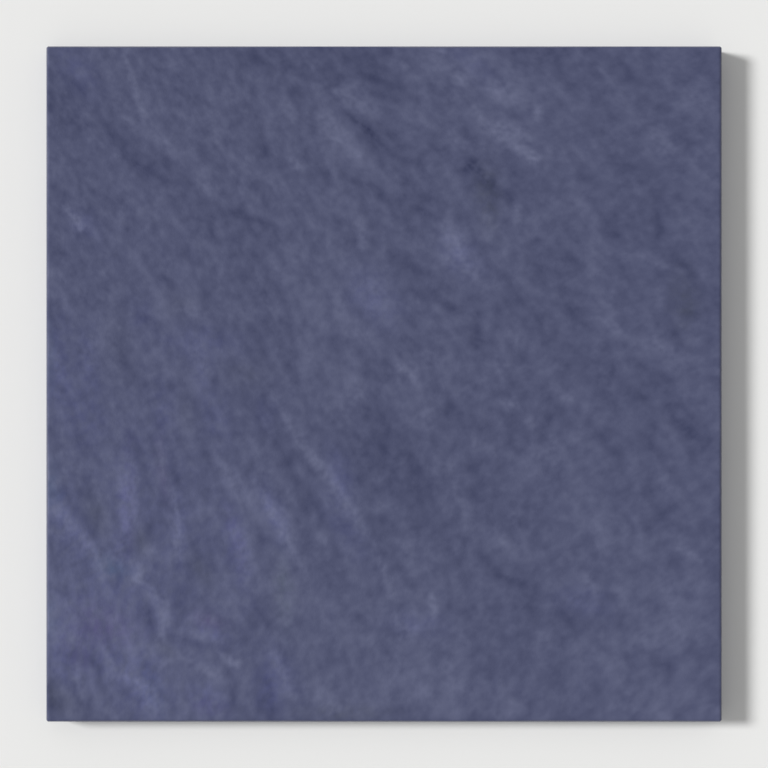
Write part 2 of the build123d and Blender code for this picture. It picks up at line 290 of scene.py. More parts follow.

# Dark marks of the print in the clefts, with painted shade there, in the same way
PRINT_AND_SHADE_MARKS = (
    # Upper left
    ((-205, 198, 6, 35), (-192, 183, 6, 28), (-181, 168, 6, 22), (-170, 152, 5, 10), (-158, 143, 5, 15),
     (-142, 137, 5, 20), (-131, 135, 4.6, 40)),
    ((-165, 146, 3.6, 85), (-158, 143, 3.6, 75)),
    ((-225, 192, 5, 75), (-219, 188, 5, 60)),
    ((-131, 128, 3, 45), (-133, 122, 3, 50)),
    ((-120, 124, 3.6, 40), (-108, 117, 3.6, 55), (-97, 113, 4, 80), (-88, 110, 3.6, 60), (-80, 108, 3.8, 85),
     (-72, 103, 3.6, 50)),
    ((-108, 127, 2.8, 80), (-103, 124, 2.8, 65)),
    ((-80, 164, 3, 45), (-80, 153, 3.2, 50)),
    ((-84, 196, 4, 40), (-70, 194, 4, 40), (-56, 193, 4, 40)),
    ((-90, 220, 4, 50), (-84, 214, 4, 35)),
    ((-110, 185, 3.2, 40), (-107, 176, 3.2, 40)),
    ((-165, 130, 3, 50), (-163, 121, 3, 50)),
    ((-144, 118, 3, 60), (-141, 105, 3, 75), (-133, 92, 2.8, 65), (-128, 80, 2.8, 60)),
    ((-119, 66, 5, 50), (-117, 54, 5, 35)),
    ((-147, 71, 3, 65), (-141, 64, 3, 55)),
    ((-157, 66, 2.8, 60), (-156, 61, 2.8, 50)),
    ((-96, 57, 2.8, 70), (-94, 54, 2.8, 50)),
    ((-90, 36, 3.4, 60), (-83, 33, 3.4, 75), (-79, 22, 3.4, 60), (-76, 12, 3, 30)),
    ((-72, 66, 3, 50), (-62, 64, 3, 55)),
    ((-113, 30, 4.5, 50), (-107, 32, 4, 40)),
    ((-168, 24, 4, 30), (-165, 14, 4, 30)),
    ((-172, 8, 4, 60), (-168, 4, 4, 50)),
    ((-157, 23, 3.4, 60), (-153, 14, 3.4, 60)),
    ((-222, 10, 3, 40), (-219, 2, 3, 45)),
    ((-148, -4, 4, 50), (-143, -2, 4, 50)),
    ((-136, -7, 2.6, 45), (-131, -10, 2.6, 45)),
    ((-112, 2, 4, 60), (-108, 0, 4, 50)),
    ((-163, -27, 3.4, 45), (-161, -37, 3.4, 45)),
    ((-196, -48, 3, 30), (-190, -54, 3, 35)),
    # Upper middle
    ((-29, 182, 2.6, 75), (-21, 177, 2.8, 110), (-14, 171, 2.8, 145), (-8, 166, 2.8, 140), (1, 156, 3.6, 75),
     (14, 149, 3, 45)),
    ((-14, 224, 6, 50), (-4, 208, 8, 60), (3, 199, 8, 65), (12, 191, 7, 40)),
    ((-37, 142, 3.4, 70), (-36, 134, 3, 55)),
    ((-58, 141, 2.4, 40), (-51, 138, 2.8, 50)),
    ((-20, 135, 3, 60), (-12, 132, 3.2, 90), (-3, 126, 4, 95), (0, 122, 3.4, 50)),
    ((-16, 119, 2.4, 55), (-9, 108, 2.4, 50), (-6, 90, 3.4, 55), (-14, 82, 3, 45)),
    ((20, 118, 3, 60), (27, 115, 3.4, 100), (34, 110, 3.2, 75)),
    ((16, 82, 3.4, 35), (19, 79, 3.4, 30)),
    ((55, 174, 2.6, 50), (56, 166, 2.6, 50)),
    ((-37, 70, 3, 30), (-35, 63, 3, 30)),
    ((8, 74, 4, 50), (20, 63, 3.4, 50), (33, 56, 3.2, 60), (47, 49, 3.2, 75), (59, 45, 3, 60)),
    ((62, 46, 3, 60), (62, 32, 3.6, 80), (69, 29, 3.4, 70)),
    ((52, 22, 4, 50), (60, 18, 4, 40)),
    ((-35, 29, 3.4, 75), (-32, 26, 3.2, 50)),
    ((-14, 8, 4, 50), (-8, 2, 4, 45)),
    ((9, 6, 2.2, 50), (13, 5, 2.2, 50)),
    # Upper right
    ((54, 142, 4, 140), (59, 147, 4.4, 180), (64, 141, 4, 130), (71, 134, 4.4, 150), (77, 129, 3.6, 90),
     (88, 121, 3, 60)),
    ((84, 151, 3.4, 60), (89, 147, 3.4, 70)),
    ((84, 178, 3, 45), (92, 177, 3, 55)),
    ((100, 166, 3, 50), (104, 164, 3, 45)),
    ((60, 92, 3, 50), (68, 91, 3, 75), (76, 89, 3, 50)),
    ((98, 92, 3, 70), (102, 96, 3.2, 100), (108, 96, 3.2, 70)),
    ((112, 90, 3, 50), (119, 85, 3, 60), (127, 83, 3, 60)),
    ((100, 70, 3.4, 75), (106, 66, 3.4, 50)),
    ((80, 58, 5, 50), (88, 56, 5, 55)),
    ((110, 128, 3, 60), (115, 126, 3, 60)),
    ((132, 141, 4, 40), (142, 134, 4, 60)),
    ((150, 101, 3.4, 70), (157, 98, 3.4, 75), (168, 98, 3, 45)),
    ((181, 122, 3, 60), (185, 104, 3.4, 70), (182, 94, 3.4, 60)),
    ((160, 206, 4, 75), (165, 204, 4, 70)),
    ((186, 187, 3, 40), (190, 183, 3, 45)),
    ((168, 144, 3, 40), (173, 142, 3, 40)),
    ((132, 180, 4, 45), (138, 174, 4, 40)),
    ((196, 64, 3.6, 45), (192, 48, 4, 45)),
    ((200, 78, 3, 45), (207, 74, 3, 50)),
    ((186, 6, 3, 60), (189, 3, 3, 50)),
    ((92, 20, 4, 45), (98, 16, 4, 40)),
    ((133, 3, 4, 50), (136, -9, 4, 50)),
    # Lower right
    ((63, -114, 3.6, 45), (70, -121, 4, 80), (77, -127, 4.2, 105), (86, -131, 4.2, 90), (99, -134, 3.8, 60)),
    ((45, -16, 6.4, 75), (54, -20, 6.4, 75), (66, -27, 6, 60)),
    ((2, -20, 5, 60), (2, -34, 5, 70), (1, -48, 5, 60)),
    ((18, -46, 4.4, 15), (22, -62, 5.4, 25), (24, -80, 6, 65), (31, -92, 4.4, 35), (40, -102, 4, 30)),
    ((-8, -89, 4, 45), (6, -93, 4, 50)),
    ((-20, -123, 4, 45), (-17, -135, 4, 45)),
    ((-16, -155, 3, 40), (-10, -162, 3.4, 55)),
    ((40, -123, 3.6, 35), (42, -131, 3.6, 35)),
    ((57, -48, 2.8, 60), (57, -55, 2.8, 45)),
    ((59, -68, 3, 60), (60, -73, 3, 50)),
    ((84, -74, 3, 50), (87, -79, 3, 60)),
    ((114, -19, 4, 25), (121, -20, 3.4, 45)),
    ((130, -20, 3.4, 50), (140, -31, 3.8, 45), (150, -43, 3.6, 35), (158, -52, 3.4, 35)),
    ((168, -4, 4, 60), (174, -10, 4, 75), (184, -18, 3.4, 45)),
    ((200, -30, 4.4, 130), (205, -33, 4.6, 135)),
    ((172, -36, 4, 75), (178, -41, 4, 75)),
    ((184, -44, 3, 60), (185, -50, 3, 50)),
    ((174, -97, 3, 90), (184, -88, 2.8, 70), (194, -82, 2.6, 50)),
    ((157, -82, 2.8, 70), (162, -90, 2.8, 85), (167, -98, 2.8, 85)),
    ((133, -80, 3.4, 50), (136, -82, 3, 40)),
    ((208, -82, 5, 50), (214, -90, 5, 40)),
    ((118, -154, 3.6, 70), (127, -160, 4.4, 80), (131, -166, 3, 40)),
    ((99, -156, 3.4, 60), (103, -159, 3.4, 45)),
    ((122, -126, 3.6, 45), (126, -134, 3.6, 45)),
    ((186, -187, 3.6, 80), (193, -191, 3.6, 100)),
    ((191, -199, 3.4, 50), (199, -206, 3.4, 55)),
    ((203, -143, 3.8, 55), (205, -153, 3.8, 55)),
    ((88, -205, 3.6, 70), (94, -209, 3.6, 100), (99, -213, 3.6, 70)),
    ((125, -192, 3.8, 45), (128, -202, 3.8, 45)),
    ((143, -200, 4, 50), (144, -208, 4, 45)),
    ((138, -171, 3, 40), (147, -176, 3, 45)),
    ((160, -174, 3.6, 50), (166, -188, 3.6, 75)),
    ((195, -122, 3, 35), (191, -119, 3, 30)),
    ((220, -98, 3, 45), (222, -104, 3, 45)),
    ((78, -162, 4, 25), (82, -168, 4, 20)),
    # Lower left and middle
    ((-86, -12, 4.6, 60), (-78, -28, 4.8, 90), (-72, -38, 4, 60)),
    ((-67, -42, 3.8, 65), (-62, -53, 4.2, 80), (-57, -64, 3.8, 50), (-53, -74, 3.4, 35)),
    ((-84, -99, 3.6, 65), (-82, -105, 4, 105)),
    ((-128, -81, 3.4, 45), (-126, -95, 3.4, 45)),
    ((-88, -162, 4, 45), (-90, -170, 4, 60)),
    ((-54, -160, 3.6, 55), (-50, -162, 3.6, 50)),
    ((-42, -82, 4, 45), (-37, -96, 4.6, 45), (-31, -112, 4, 35)),
    ((-30, -44, 4, 40), (-25, -54, 4, 40)),
    ((-52, -84, 5, 45), (-48, -70, 4, 45)),
    ((-165, -142, 5.2, 55), (-159, -153, 6.2, 90), (-156, -164, 4.8, 65)),
    ((-138, -136, 4.4, 50), (-134, -147, 4.4, 75), (-138, -160, 3.6, 70)),
    ((-140, -167, 3, 75), (-130, -171, 3, 70), (-118, -175, 3, 70), (-106, -177, 2.8, 50)),
    ((-110, -184, 3, 50), (-103, -192, 3.6, 80), (-101, -206, 3.6, 75), (-102, -218, 3.6, 60)),
    ((-78, -190, 5, 55), (-77, -204, 6, 80), (-76, -218, 6, 75)),
    ((-225, -184, 3.4, 20), (-213, -180, 3.4, 10), (-200, -184, 4, 60), (-190, -188, 3.4, 50)),
    ((-198, -162, 3, 40), (-188, -166, 3, 60), (-180, -180, 3, 60)),
    ((-225, -204, 6, 90), (-220, -216, 6, 70)),
    ((-162, -76, 2.6, 45), (-157, -82, 3.6, 60), (-156, -96, 3.4, 50), (-163, -106, 3, 55)),
    ((-204, -84, 3, 60), (-198, -90, 3, 50), (-194, -102, 2.8, 55)),
    ((-148, -68, 3, 40), (-150, -86, 3, 45), (-148, -106, 3.4, 45)),
    ((-182, -152, 2.6, 50), (-178, -142, 2.6, 40)),
    ((-182, -124, 4, 45), (-176, -128, 4, 40)),
    ((-96, -12, 3.4, 50), (-93, -6, 3.4, 60)),
    ((-205, -26, 3, 40), (-190, -22, 3, 40)),
    # Faint painted shade over ripples that would stand out too much
    ((-175, 100, 5, 12), (-160, 76, 5, 18), (-146, 52, 5, 12)),
    ((-132, 8, 5, 25), (-118, -13, 5, 40), (-104, -34, 5, 35), (-100, -54, 5, 15)),
    ((188, -26, 5, 15), (192, -44, 5, 15)),
    ((-12, 155, 5, 25), (-2, 142, 5, 30), (8, 128, 5, 20)),
)

# Broad pale and dark areas: middle x and y, heading, length, width, strength in percent
AREAS = (
    (-172, -162, -42, 215, 130, 52),
    (-10, -178, -8, 190, 90, 30),
    (-86, -92, -80, 120, 66, 45),
    (-31, 54, -36, 110, 78, 42),
    (66, 200, -55, 130, 60, 34),
    (49, 90, -60, 60, 52, 20),
    (4, -54, -60, 120, 70, -54),
    (84, -152, -45, 76, 66, -30),
    (106, 54, -52, 120, 66, -38),
    (168, -4, -46, 120, 56, -24),
    (-25, 219, -20, 92, 66, -38),
    (140, -96, -50, 210, 66, 28),
    (158, 54, -55, 160, 48, 20),
    (-222, 192, -36, 130, 56, -42),
    (-134, 134, -42, 200, 46, -22),
    (62, 140, -42, 60, 40, -30),
    (-84, -8, -70, 110, 56, -16),
    (-152, 200, -52, 90, 50, -8),
    (-128, 24, -76, 120, 70, 18),
    (-158, 68, -70, 60, 44, 14),
    (186, 160, -60, 120, 60, -10),
    (194, -208, -30, 150, 80, 46),
    (22, -136, -10, 170, 110, 22),
    (-120, 218, 0, 240, 50, -16),
    (24, 152, -40, 70, 44, -32),
    (-206, 114, -50, 70, 50, -24),
    (184, 80, -50, 120, 56, -34),
    (98, -24, -40, 100, 54, -26),
    (24, 116, -40, 60, 50, -16),
    (24, 70, -50, 50, 44, -32),
    (206, -80, -60, 66, 50, 20),
    (44, -208, 0, 340, 40, 36),
    (140, -208, 0, 160, 40, 8),
    (0, 224, 0, 450, 36, -14),
    (157, -158, -30, 50, 40, -26),
    (24, -158, -10, 50, 36, -10),
    (-29, 166, -45, 40, 30, 38),
    (82, 190, -30, 44, 28, 24),
    (60, -44, -64, 90, 40, -30),
    (-142, -112, -80, 60, 70, 20),
    (-157, -68, -80, 60, 44, 20),
    (-202, -22, -60, 70, 50, 16),
    (-206, -160, -60, 44, 40, 20),
    (-112, 68, -30, 70, 44, -24),
    (-67, 44, -60, 80, 44, -26),
    (-112, 18, -40, 54, 44, 32),
    (98, 67, -30, 100, 44, 27),
    (206, 60, -60, 60, 40, -15),
    (-180, 108, -20, 100, 44, -17),
    (-22, 112, -40, 56, 40, 13),
    (-27, -2, -60, 80, 44, 22),
    (-5, 58, -50, 54, 42, 14),
    (51, 87, -60, 48, 36, 26),
    (-207, -103, -50, 90, 40, -26),
    (206, -157, -80, 66, 40, 60),
    (146, 124, -40, 80, 44, -10),
    (208, 120, -75, 90, 44, 34),
    (112, 212, -30, 60, 40, -44),
    (-78, 208, 0, 110, 44, -18),
    (114, -45, -60, 100, 44, -22),
    (84, -110, 0, 90, 40, 28),
)

# Tints, in the same order: a positive strength is bluer, a negative one warmer
BLUE_TINTS = (
    (-192, -165, -60, 120, 100, 50),
    (-150, -110, -75, 260, 190, 26),
    (-172, -82, -93, 110, 22, 66),
    (-136, -94, -88, 56, 14, 42),
    (-98, -108, -80, 76, 16, 80),
    (-74, -88, -64, 56, 18, 72),
    (-210, -90, -60, 104, 36, 55),
    (-160, -205, -60, 56, 40, 66),
    (-117, -213, -20, 40, 28, 72),
    (-116, -164, -30, 36, 18, 55),
    (-76, -202, -88, 60, 26, 60),
    (-26, -96, -60, 70, 24, 34),
    (-30, -62, -72, 50, 20, 56),
    (-170, 90, -88, 380, 200, 6),
    (-216, 10, -88, 90, 24, 60),
    (-196, 14, -88, 70, 20, 40),
    (-200, -22, -80, 56, 36, 34),
    (-214, -186, -88, 80, 30, 40),
    (-160, 46, -80, 32, 24, 30),
    (-122, 28, -4, 64, 24, 42),
    (-121, 7, -85, 36, 22, 36),
    (-147, -20, -88, 48, 22, 34),
    (-112, -22, -80, 44, 28, 34),
    (-79, -20, -80, 32, 20, 22),
    (-204, 210, -60, 56, 30, 40),
    (-200, 106, -40, 36, 20, 36),
    (-7, 57, -50, 54, 38, 46),
    (51, 86, -50, 46, 26, 46),
    (56, 214, -40, 60, 20, 26),
    (22, -160, -6, 50, 22, 38),
    (-66, -192, -60, 50, 22, 36),
    (133, -145, -6, 50, 26, 36),
    (-162, -104, -70, 30, 16, -60),
    (-122, -124, -60, 40, 18, -50),
    (-67, -138, -88, 64, 24, -42),
    (-193, -90, -70, 50, 22, -55),
    (-147, -177, -40, 26, 14, -50),
    (69, 125, -86, 62, 22, -44),
    (199, 56, -88, 54, 26, -38),
    (-177, 30, -80, 80, 34, -14),
    (-131, -20, -88, 48, 16, -22),
    (-92, 6, 0, 46, 24, -22),
    (-136, 54, 0, 34, 26, -20),
    (-218, -206, -50, 50, 26, -60),
    (-26, -219, 0, 80, 16, -40),
)

# The same for pink and green: a positive strength is pinker, a negative one greener
PINK_TINTS = (
    (-187, -160, -20, 56, 36, 95),
    (-204, -178, -50, 40, 26, 45),
    (-116, -157, -20, 30, 16, 95),
    (-147, -58, -86, 56, 10, 60),
    (-171, -82, -92, 100, 18, 30),
    (-98, -106, -80, 60, 12, 30),
    (-117, -215, -10, 34, 16, 40),
    (-180, -121, -20, 34, 18, -120),
    (-221, -68, -80, 44, 20, -80),
    (-222, -156, -88, 34, 14, -60),
    (-155, -205, -60, 40, 20, -35),
    (-66, -138, -88, 66, 14, -35),
    (-222, 16, -88, 60, 12, -35),
)


# Settings

def length(name, description, default):
    return FloatProperty(name=name, description=description, default=default, unit="LENGTH")


def angle(name, description, degrees):
    return FloatProperty(name=name, description=description, default=math.radians(degrees), subtype="ANGLE")


def strength(name, description, default):
    return FloatProperty(name=name, description=description, default=default, min=0.0)


def colour(name, description, *default):
    return FloatVectorProperty(name=name, description=description, default=(*default, 1.0), size=4,
                               subtype="COLOR")


def tint(name, description, *default):
    return FloatVectorProperty(name=name, description=description, default=default, size=3)


def count(name, description, default):
    return IntProperty(name=name, description=description, default=default, min=1)


class TileSettings(bpy.types.PropertyGroup):
    """Sizes of the tile"""

    side: length("Side", "Side of the square", cad_high.x - cad_low.x)
    thickness: length("Thickness", "From the bed to the highest swell of the face", 20.0 * MM)
    corner_arris: length("Corner Arris", "Arris ground down the upright corners", 1.0 * MM)
    bed_arris: length("Bed Arris", "Arris ground round the back", 0.8 * MM)
    wall_top: length("Wall Top", "Height at which the arris of the face starts", 18.55 * MM)
    least_arris: length("Least Arris", "Width of that arris where the face is lowest", 0.15 * MM)
    swell_depth: length("Swell Depth", "Depth of the broad swells", 0.6 * MM)
    riser: length("Riser", "Width of the step down at a ledge", 4.5 * MM)
    ripple_depth: length("Ripple Depth", "Depth of the riven ripples", 0.8 * MM)
    grain_depth: length("Grain Depth", "Depth of the fine riven grain", 0.22 * MM)
    cleft_depth: length("Cleft Depth", "Depth of a dark mark of strength 1", 0.16 * MM)
    crest_height: length("Crest Height", "Height of a light mark of strength 1", 0.07 * MM)
    relief_lift: length("Relief Lift", "Raises the relief to bring its crests up to the thickness", 0.25 * MM)
    key_pitch: length("Key Pitch", "Distance between the pockets of the back", 30.0 * MM)
    key_rib: length("Key Rib", "Width of the ribs between the pockets", 5.0 * MM)
    key_depth: length("Key Depth", "Depth of the pockets", 1.2 * MM)
    key_rounding: length("Key Rounding", "Rounding of the pockets' edges", 0.25 * MM)
    key_draft: angle("Key Draft", "Slope of a pocket's wall from upright", 40.0)
    keys_per_side: count("Keys per Side", "Pockets along one side", 14)
    stations_per_key: count("Stations per Key", "Steps of the face's grid for each pocket", 20)


class GlazeSettings(bpy.types.PropertyGroup):
    """Colours of the tile"""

    # Deep and pale end the tone ramp of the face: its print, and also painted shade in the clefts and painted
    # highlight on the crests.
    deep: colour("Deep", "Colour in the clefts", 0.0185, 0.0236, 0.0680)
    slate: colour("Slate", "Colour of most of the face", 0.0677, 0.0760, 0.1450)
    pale: colour("Pale", "Colour on the crests", 0.1270, 0.1385, 0.2290)
    blue_tint: tint("Blue Tint", "What a bluer area adds to the colour", 0.0, 0.0, 0.0250)
    pink_tint: tint("Pink Tint", "What a pinker area adds to the colour", 0.0050, -0.0025, 0.0010)
    body: colour("Body", "Colour of the fired clay", 0.1150, 0.1200, 0.1750)
    wash: colour("Kiln Wash", "Chalky wash left on the ribs of the back", 0.42, 0.42, 0.44)
    wash_height: length("Wash Height", "How far the wash reaches into the pockets", 0.3 * MM)


class StageSettings(bpy.types.PropertyGroup):
    """Camera and light"""

    fill_of_frame: FloatProperty(name="Fill of Frame", description="Share of the frame's width for the tile",
                                 default=0.88, min=0.1, max=1.0, subtype="FACTOR")
    lens: FloatProperty(name="Lens", description="Focal length", default=100.0, unit="CAMERA")
    key_strength: strength("Key Light", "Strength of the key light", 3.1)
    back_strength: strength("Back Light", "Strength of the light that shows the back", 1.5)
    key_elevation: angle("Key Elevation", "Height of the key light above the horizon", 38.0)
    key_azimuth: angle("Key Azimuth", "Direction that the key light comes from", 168.0)
    sun_spread: angle("Sun Spread", "Spread of both lights, which softens their shadows", 14.0)
    surround: strength("Surround", "Strength of the even light from above", 0.42)
    surround_below: strength("Surround Below", "Strength of the even light from below, on the back", 0.6)
    backdrop: strength("Backdrop", "Brightness of the surround where it is seen or mirrored", 0.82)
    floor_reach: length("Floor Reach", "Side of the floor", 6.0)
    floor_overlap: length("Floor Overlap", "How far the floor reaches in under the back", 0.3 * MM)
    floor_colour: colour("Floor Colour", "Colour of the floor", 0.80, 0.80, 0.79)


# Relief

def gradient_noise(u, v, seed):
    """Smooth noise from about -1 to 1, one bump to each unit of u and v."""
    cells = 256
    angles = np.random.default_rng(seed).uniform(0.0, math.tau, (cells, cells))
    column, row = np.floor(u).astype(int), np.floor(v).astype(int)
    du, dv = u - column, v - row
    ease_u, ease_v = (t * t * t * (t * (t * 6 - 15) + 10) for t in (du, dv))

    def corner(right, up):
        heading = angles[(column + right) % cells, (row + up) % cells]
        return np.cos(heading) * (du - right) + np.sin(heading) * (dv - up)

    low = corner(0, 0) + ease_u * (corner(1, 0) - corner(0, 0))
    high = corner(0, 1) + ease_u * (corner(1, 1) - corner(0, 1))
    full_range = 1.5  # brings the highest bumps to about 1
    return full_range * (low + ease_v * (high - low))


def layered_noise(across, along, layers):
    """Noise in layers, drawn out along the cleavage."""
    return sum(share * gradient_noise(across / size, along / (stretch * size), seed)
               for size, stretch, share, seed in layers)


def wander(x, y, axis):
    """How far the relief wanders along x, axis 0, or y, axis 1."""
    return sum(reach * gradient_noise(x / size, y / size, seeds[axis])
               for size, reach, seeds in WANDER_LAYERS)


def cleavage_flow(x, y):
    """Distances across and along the cleavage."""
    rise, fall = (x + y) / math.sqrt(2), (y - x) / math.sqrt(2)
    return rise + (FLOW_LEAN + FLOW_TURN * rise) * fall, fall - FLOW_LEAN * rise


def smooth(t):
    """From 0 to 1, level at both ends."""
    t = np.clip(t, 0.0, 1.0)
    return t * t * (3 - 2 * t)


def swell_level(x, y):
    """The swells together, from -1 to 1."""
    level = 0.0
    for wavelength, heading, share, phase in SWELLS:
        travelled = x * math.cos(math.radians(heading)) + y * math.sin(math.radians(heading))
        level = level + share * np.cos(math.tau * travelled / wavelength + math.radians(phase))
    return level


def beside_line(x, y, middle_x, middle_y, heading, length_of_line, bow=0.0):
    """Place beside a bowed line: share of its half length, and distance to its left."""
    cosine, sine = math.cos(math.radians(heading)), math.sin(math.radians(heading))
    share = 2 * ((x - middle_x) * cosine + (y - middle_y) * sine) / length_of_line
    left = (y - middle_y) * cosine - (x - middle_x) * sine
    return share, left - bow * (1 - share * share)


def ledge_depths(x, y, riser):
    """How far the ledges lower the face."""
    depth = np.zeros_like(x)
    for *line, drop, reach in LEDGES:
        share, left = beside_line(x, y, *line)
        ends = np.clip(1 - share * share, 0.0, 1.0) ** 2
        depth += drop * smooth(left / riser + 0.5) * (1 - smooth(left / reach)) * ends
    return depth


def traces(x, y, marks):
    """Strength of the marks. Width and strength change evenly from one point of a trace to the next."""
    total = np.zeros_like(x)
    for points in marks:
        nearest = np.zeros_like(x)
        for (x0, y0, width0, strength0), (x1, y1, width1, strength1) in zip(points, points[1:]):
            run_x, run_y = x1 - x0, y1 - y0
            share = np.clip(((x - x0) * run_x + (y - y0) * run_y) / (run_x ** 2 + run_y ** 2), 0.0, 1.0)
            square = (x - x0 - share * run_x) ** 2 + (y - y0 - share * run_y) ** 2
            width = width0 + share * (width1 - width0)
            full = strength0 + share * (strength1 - strength0)
            nearest = np.maximum(nearest, full * np.exp(-square / width ** 2))
        total += nearest
    return total / 100


def patches(x, y, areas):
    """Strength of the broad areas or tints."""
    total = np.zeros_like(x)
    for *line, width, full in areas:
        share, left = beside_line(x, y, *line)
        total += full * np.exp(-AREA_FALL * (share ** 2 + (2 * left / width) ** 2))
    return total / 100


def riven_face(x, y, sizes):
    """Height of the face in metres at x and y in mm, and the masks that its print, painted highlight and
    painted shade follow.
    """
    wander_x, wander_y = wander(x, y, 0), wander(x, y, 1)
    across, along = cleavage_flow(x, y)
    ripple, grain = (layered_noise(across + wander_x, along + wander_y, layers)
                     for layers in (RIPPLE_LAYERS, GRAIN_LAYERS))

    def bent(kind):
        return x + WANDER_SHARES[kind] * wander_x, y + WANDER_SHARES[kind] * wander_y

    crest, cleft = traces(*bent("crest"), PRINT_AND_HIGHLIGHT_MARKS), traces(*bent("cleft"), PRINT_AND_SHADE_MARKS)
    depth = (
        sizes.swell_depth * (1 - swell_level(x, y)) / 2
        + MM * ledge_depths(*bent("ledge"), sizes.riser / MM)
        + sizes.ripple_depth * (1 - np.clip(ripple, -1, 1)) / 2
        + sizes.grain_depth * (1 - np.clip(grain, -1, 1)) / 2
        + sizes.cleft_depth * np.minimum(cleft, MARK_RELIEF_CAP)
        - sizes.crest_height * np.minimum(crest, MARK_RELIEF_CAP)
        - sizes.relief_lift
    )
    masks = {
        "ripple": ripple,
        "grain": grain,
        "crest": crest,
        "cleft": cleft,
        "area": patches(*bent("area"), AREAS),
        "blue": patches(*bent("tint"), BLUE_TINTS),
        "pink": patches(*bent("tint"), PINK_TINTS),
    }
    return sizes.thickness - np.maximum(depth, 0.0), masks


# The tile's mesh

def new_face(mesh, corners, finish):
    mesh.faces.new(corners).material_index = finish


def turned(point, side):
    """A point of the first side, turned to another side."""
    x, y, z = point
    return ((x, y, z), (-y, x, z), (-x, -y, z), (y, -x, z))[side]


def border_points(grid, side):
    """The points along one side of a grid, going round the tile anticlockwise."""
    return (grid[0], [row[-1] for row in grid], grid[-1][::-1], [row[0] for row in grid][::-1])[side]


def riven_grid(mesh, sizes):
    """The riven face. Gives its points, their stations along a side, and the masks of its print, painted
    highlight and painted shade.
    """
    half = sizes.side / 2
    arris_share = 0.6  # how far in from the side the outermost stations lie, in heights of the arris
    reach = half - arris_share * (sizes.thickness - sizes.wall_top)
    stations = np.linspace(-reach, reach, sizes.keys_per_side * sizes.stations_per_key + 1)
    x, y = np.meshgrid(stations, stations)
    height, masks = riven_face(x / MM, y / MM, sizes)
    height = np.maximum(height, sizes.wall_top + sizes.least_arris)

    # The arris is ground at one level, so it is wider where the face stands higher
    rim = height - sizes.wall_top
    y[0], y[-1] = -half + rim[0], half - rim[-1]
    x[:, 0], x[:, -1] = -half + rim[:, 0], half - rim[:, -1]

    face = [[mesh.verts.new(point) for point in zip(*row)] for row in zip(x, y, height)]
    for near, far in zip(face, face[1:]):
        for i in range(len(near) - 1):
            new_face(mesh, (near[i], near[i + 1], far[i + 1], far[i]), GLAZE)
    return face, stations, masks


def ground_sides(mesh, sizes, face, stations):
    """The four walls with their arrises. Gives the outline of the back, one row of points to each side."""
    stride = sizes.stations_per_key
    half = sizes.side / 2
    bed_half = half - sizes.bed_arris
    corner = half - sizes.corner_arris
    bed_corner_share = 0.4  # how much narrower the corner is at the bed, in widths of the bed's arris
    bed_corner = bed_half - sizes.corner_arris + bed_corner_share * sizes.bed_arris
    places = np.clip(stations, -corner, corner)
    places[0], places[-1] = -corner, corner

    def rows(places, out, height):
        return [[mesh.verts.new(turned((place, -out, height), side)) for place in places]
                for side in range(4)]

    walls = rows(places, half, sizes.wall_top)
    feet = rows(places[::stride], half, sizes.bed_arris)
    beds = rows(np.clip(places[::stride], -bed_corner, bed_corner), bed_half, 0.0)
    for side, (wall, foot, bed) in enumerate(zip(walls, feet, beds)):
        border = border_points(face, side)
        for i in range(len(wall) - 1):
            new_face(mesh, (wall[i], wall[i + 1], border[i + 1], border[i]), CLAY)
        for k in range(sizes.keys_per_side):
            above = wall[k * stride:(k + 1) * stride + 1]
            new_face(mesh, (foot[k], foot[k + 1], *above[::-1]), CLAY)
            new_face(mesh, (bed[k], bed[k + 1], foot[k + 1], foot[k]), CLAY)

        # The upright corner at the end of this side
        after = (side + 1) % 4
        new_face(mesh, (wall[-1], walls[after][0], border[-1]), CLAY)
        new_face(mesh, (foot[-1], feet[after][0], walls[after][0], wall[-1]), CLAY)
        new_face(mesh, (bed[-1], beds[after][0], feet[after][0], foot[-1]), CLAY)
    return beds


def key_ring(mesh, middle, half, radius, height):
    """A square ring of points with rounded corners, three to a corner."""
    ring = []
    reach = (half - radius) * math.sqrt(2)
    for quarter in range(4):
        corner = math.radians(90 * quarter + 45)
        for step in range(3):
            turn = math.radians(90 * quarter + 45 * step)
            ring.append(mesh.verts.new((
                middle[0] + reach * math.cos(corner) + radius * math.cos(turn),
                middle[1] + reach * math.sin(corner) + radius * math.sin(turn),
                height,
            )))
    return ring


def key_pocket(mesh, sizes, middle, corners):
    """One cell of the back: the flat of its ribs, and the pocket pressed in it."""
    rim_half = (sizes.key_pitch - sizes.key_rib) / 2
    halves = (rim_half, rim_half - sizes.key_depth * math.tan(sizes.key_draft))
    rings = [
        key_ring(mesh, middle, halves[level] + outward * sizes.key_rounding, radius * MM,
                 level * sizes.key_depth + up * sizes.key_rounding)
        for level, radius, outward, up in POCKET_RINGS
    ]
    rim = rings[0] + rings[0][:1]
    for quarter, corner in enumerate(corners):
        first, second, third, following = rim[3 * quarter:3 * quarter + 4]
        new_face(mesh, (corner, second, first), BACK)
        new_face(mesh, (corner, third, second), BACK)
        new_face(mesh, (corner, corners[(quarter + 1) % 4], following, third), BACK)
    for outer, inner in zip(rings, rings[1:]):
        for step in range(len(outer)):
            after = (step + 1) % len(outer)
            new_face(mesh, (outer[step], outer[after], inner[after], inner[step]), BACK)
    new_face(mesh, rings[-1], BACK)


